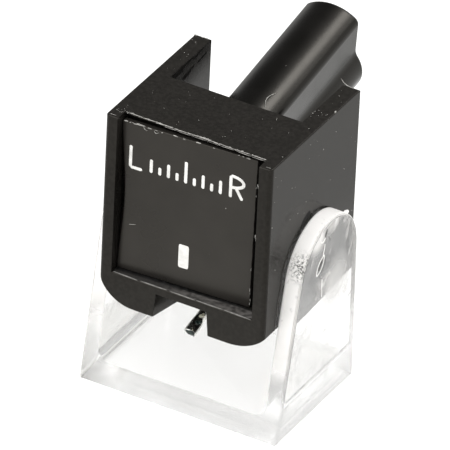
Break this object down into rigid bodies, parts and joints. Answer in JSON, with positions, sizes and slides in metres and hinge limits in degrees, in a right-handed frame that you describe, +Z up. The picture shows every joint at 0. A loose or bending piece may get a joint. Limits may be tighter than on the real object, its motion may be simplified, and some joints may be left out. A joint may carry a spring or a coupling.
{
  "type": "turntable stylus assembly",
  "caption": "Phono stylus assembly: black box front with a recessed face plate, arms and a plug behind, sprung cantilever with a diamond tip, and a clear flip-down guard to stand on.",
  "frame": {"origin": "centre of the flat foot of the closed guard", "axes": "+X to the right seen from the front, +Y from the face plate to the rear, +Z up"},
  "size_m": [0.0182, 0.0244, 0.0263],
  "materials": {
    "black_moulding": "satin",
    "face_plate": "satin",
    "black_plug": "semi-gloss",
    "clear_plastic": "clear",
    "brass": "drawn",
    "aluminium": "drawn",
    "magnet": "sintered",
    "rubber": "matte",
    "diamond": "polished"
  },
  "bodies": {
    "housing": {"housing": "black_moulding", "face_plate": "face_plate", "plug": "black_plug", "armature_sleeve": "brass"},
    "bush": {"damper_bush": "rubber"},
    "needle": {"cantilever": "aluminium", "armature_magnet": "magnet", "stylus_tip": "diamond"},
    "guard": {"stylus_guard": "clear_plastic"}
  },
  "joints": [
    {"name": "guard_hinge", "type": "hinge", "parent": "housing", "child": "guard", "pos_m": [0, 0.00099, 0.0129], "axis": [-1, 0, 0], "range_deg": [0, 108]},
    {"name": "needle_sideways", "type": "hinge", "parent": "housing", "child": "bush", "pos_m": [0, 0.00131, 0.00841], "axis": [0, -0.2723, 0.9622], "range_deg": [-3.5, 3.5], "stiffness_Nm_per_rad": 0.0036},
    {"name": "needle_lift", "type": "hinge", "parent": "bush", "child": "needle", "pos_m": [0, 0.00131, 0.00841], "axis": [-1, 0, 0], "range_deg": [-3.5, 3.5], "stiffness_Nm_per_rad": 0.0036}
  ]
}
